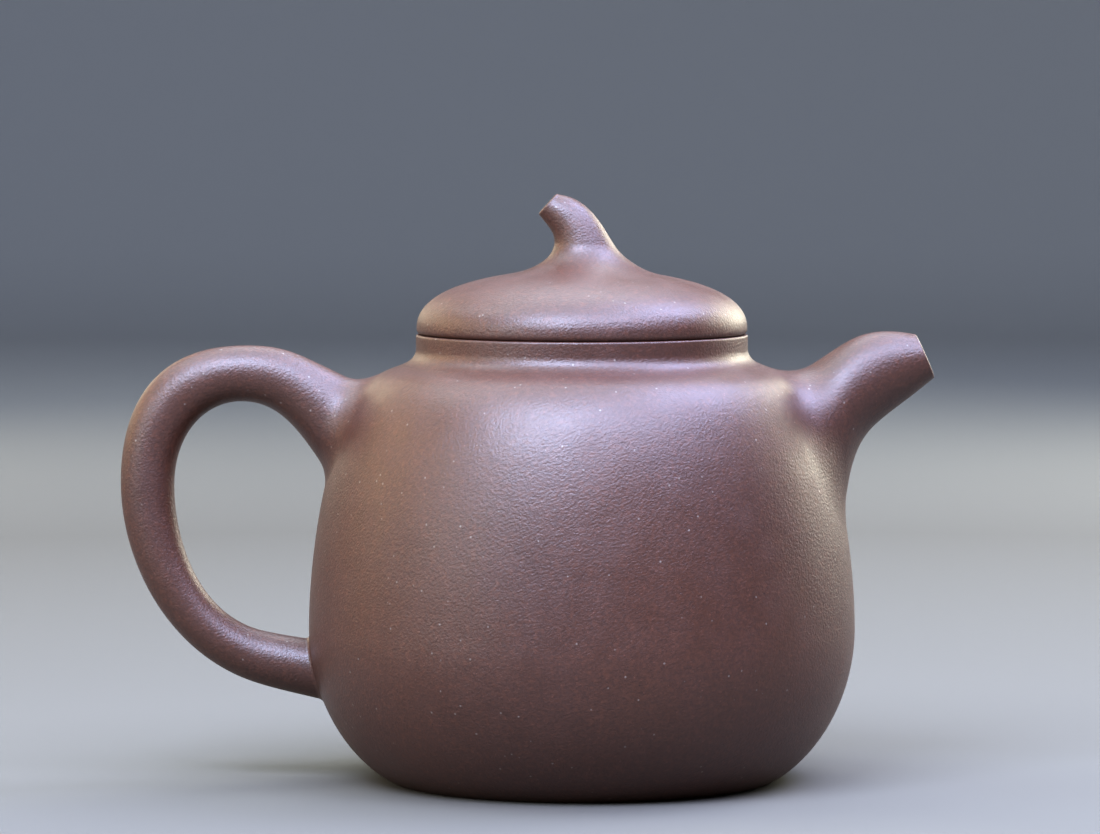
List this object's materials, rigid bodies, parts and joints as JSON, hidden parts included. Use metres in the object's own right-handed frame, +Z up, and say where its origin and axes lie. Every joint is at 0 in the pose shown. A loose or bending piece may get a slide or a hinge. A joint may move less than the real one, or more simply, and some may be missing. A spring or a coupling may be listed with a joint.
{
  "type": "clay teapot",
  "caption": "Small low-bellied clay teapot with a loop handle, a short one-bend spout, a ball strainer inside and a lift-off domed lid with a crooked stem knob.",
  "frame": {"origin": "on the pot's axis, in the plane of the flat ring that it stands on", "axes": "+Z up along the pot's axis, +X towards the spout, with the handle towards -X, and Y across the pot"},
  "size_m": [0.1354, 0.091, 0.0976],
  "materials": {
    "burnished_clay": "satin, hand-burnished",
    "bare_clay": "matt, unburnished"
  },
  "bodies": {
    "pot": {"body_wall": "burnished_clay", "base_disc": "bare_clay", "shoulder_disc": "burnished_clay", "neck_collar": "burnished_clay", "spout": "burnished_clay", "strainer": "bare_clay", "handle": "burnished_clay"},
    "lid": {"lid_dome": "burnished_clay", "lid_seat_ring": "burnished_clay", "lid_flange": "bare_clay", "lid_knob": "burnished_clay"}
  },
  "joints": [
    {"name": "lid_lift", "type": "slide", "parent": "pot", "child": "lid", "axis": [0, 0, 1], "range_m": [0, 0.06]}
  ]
}
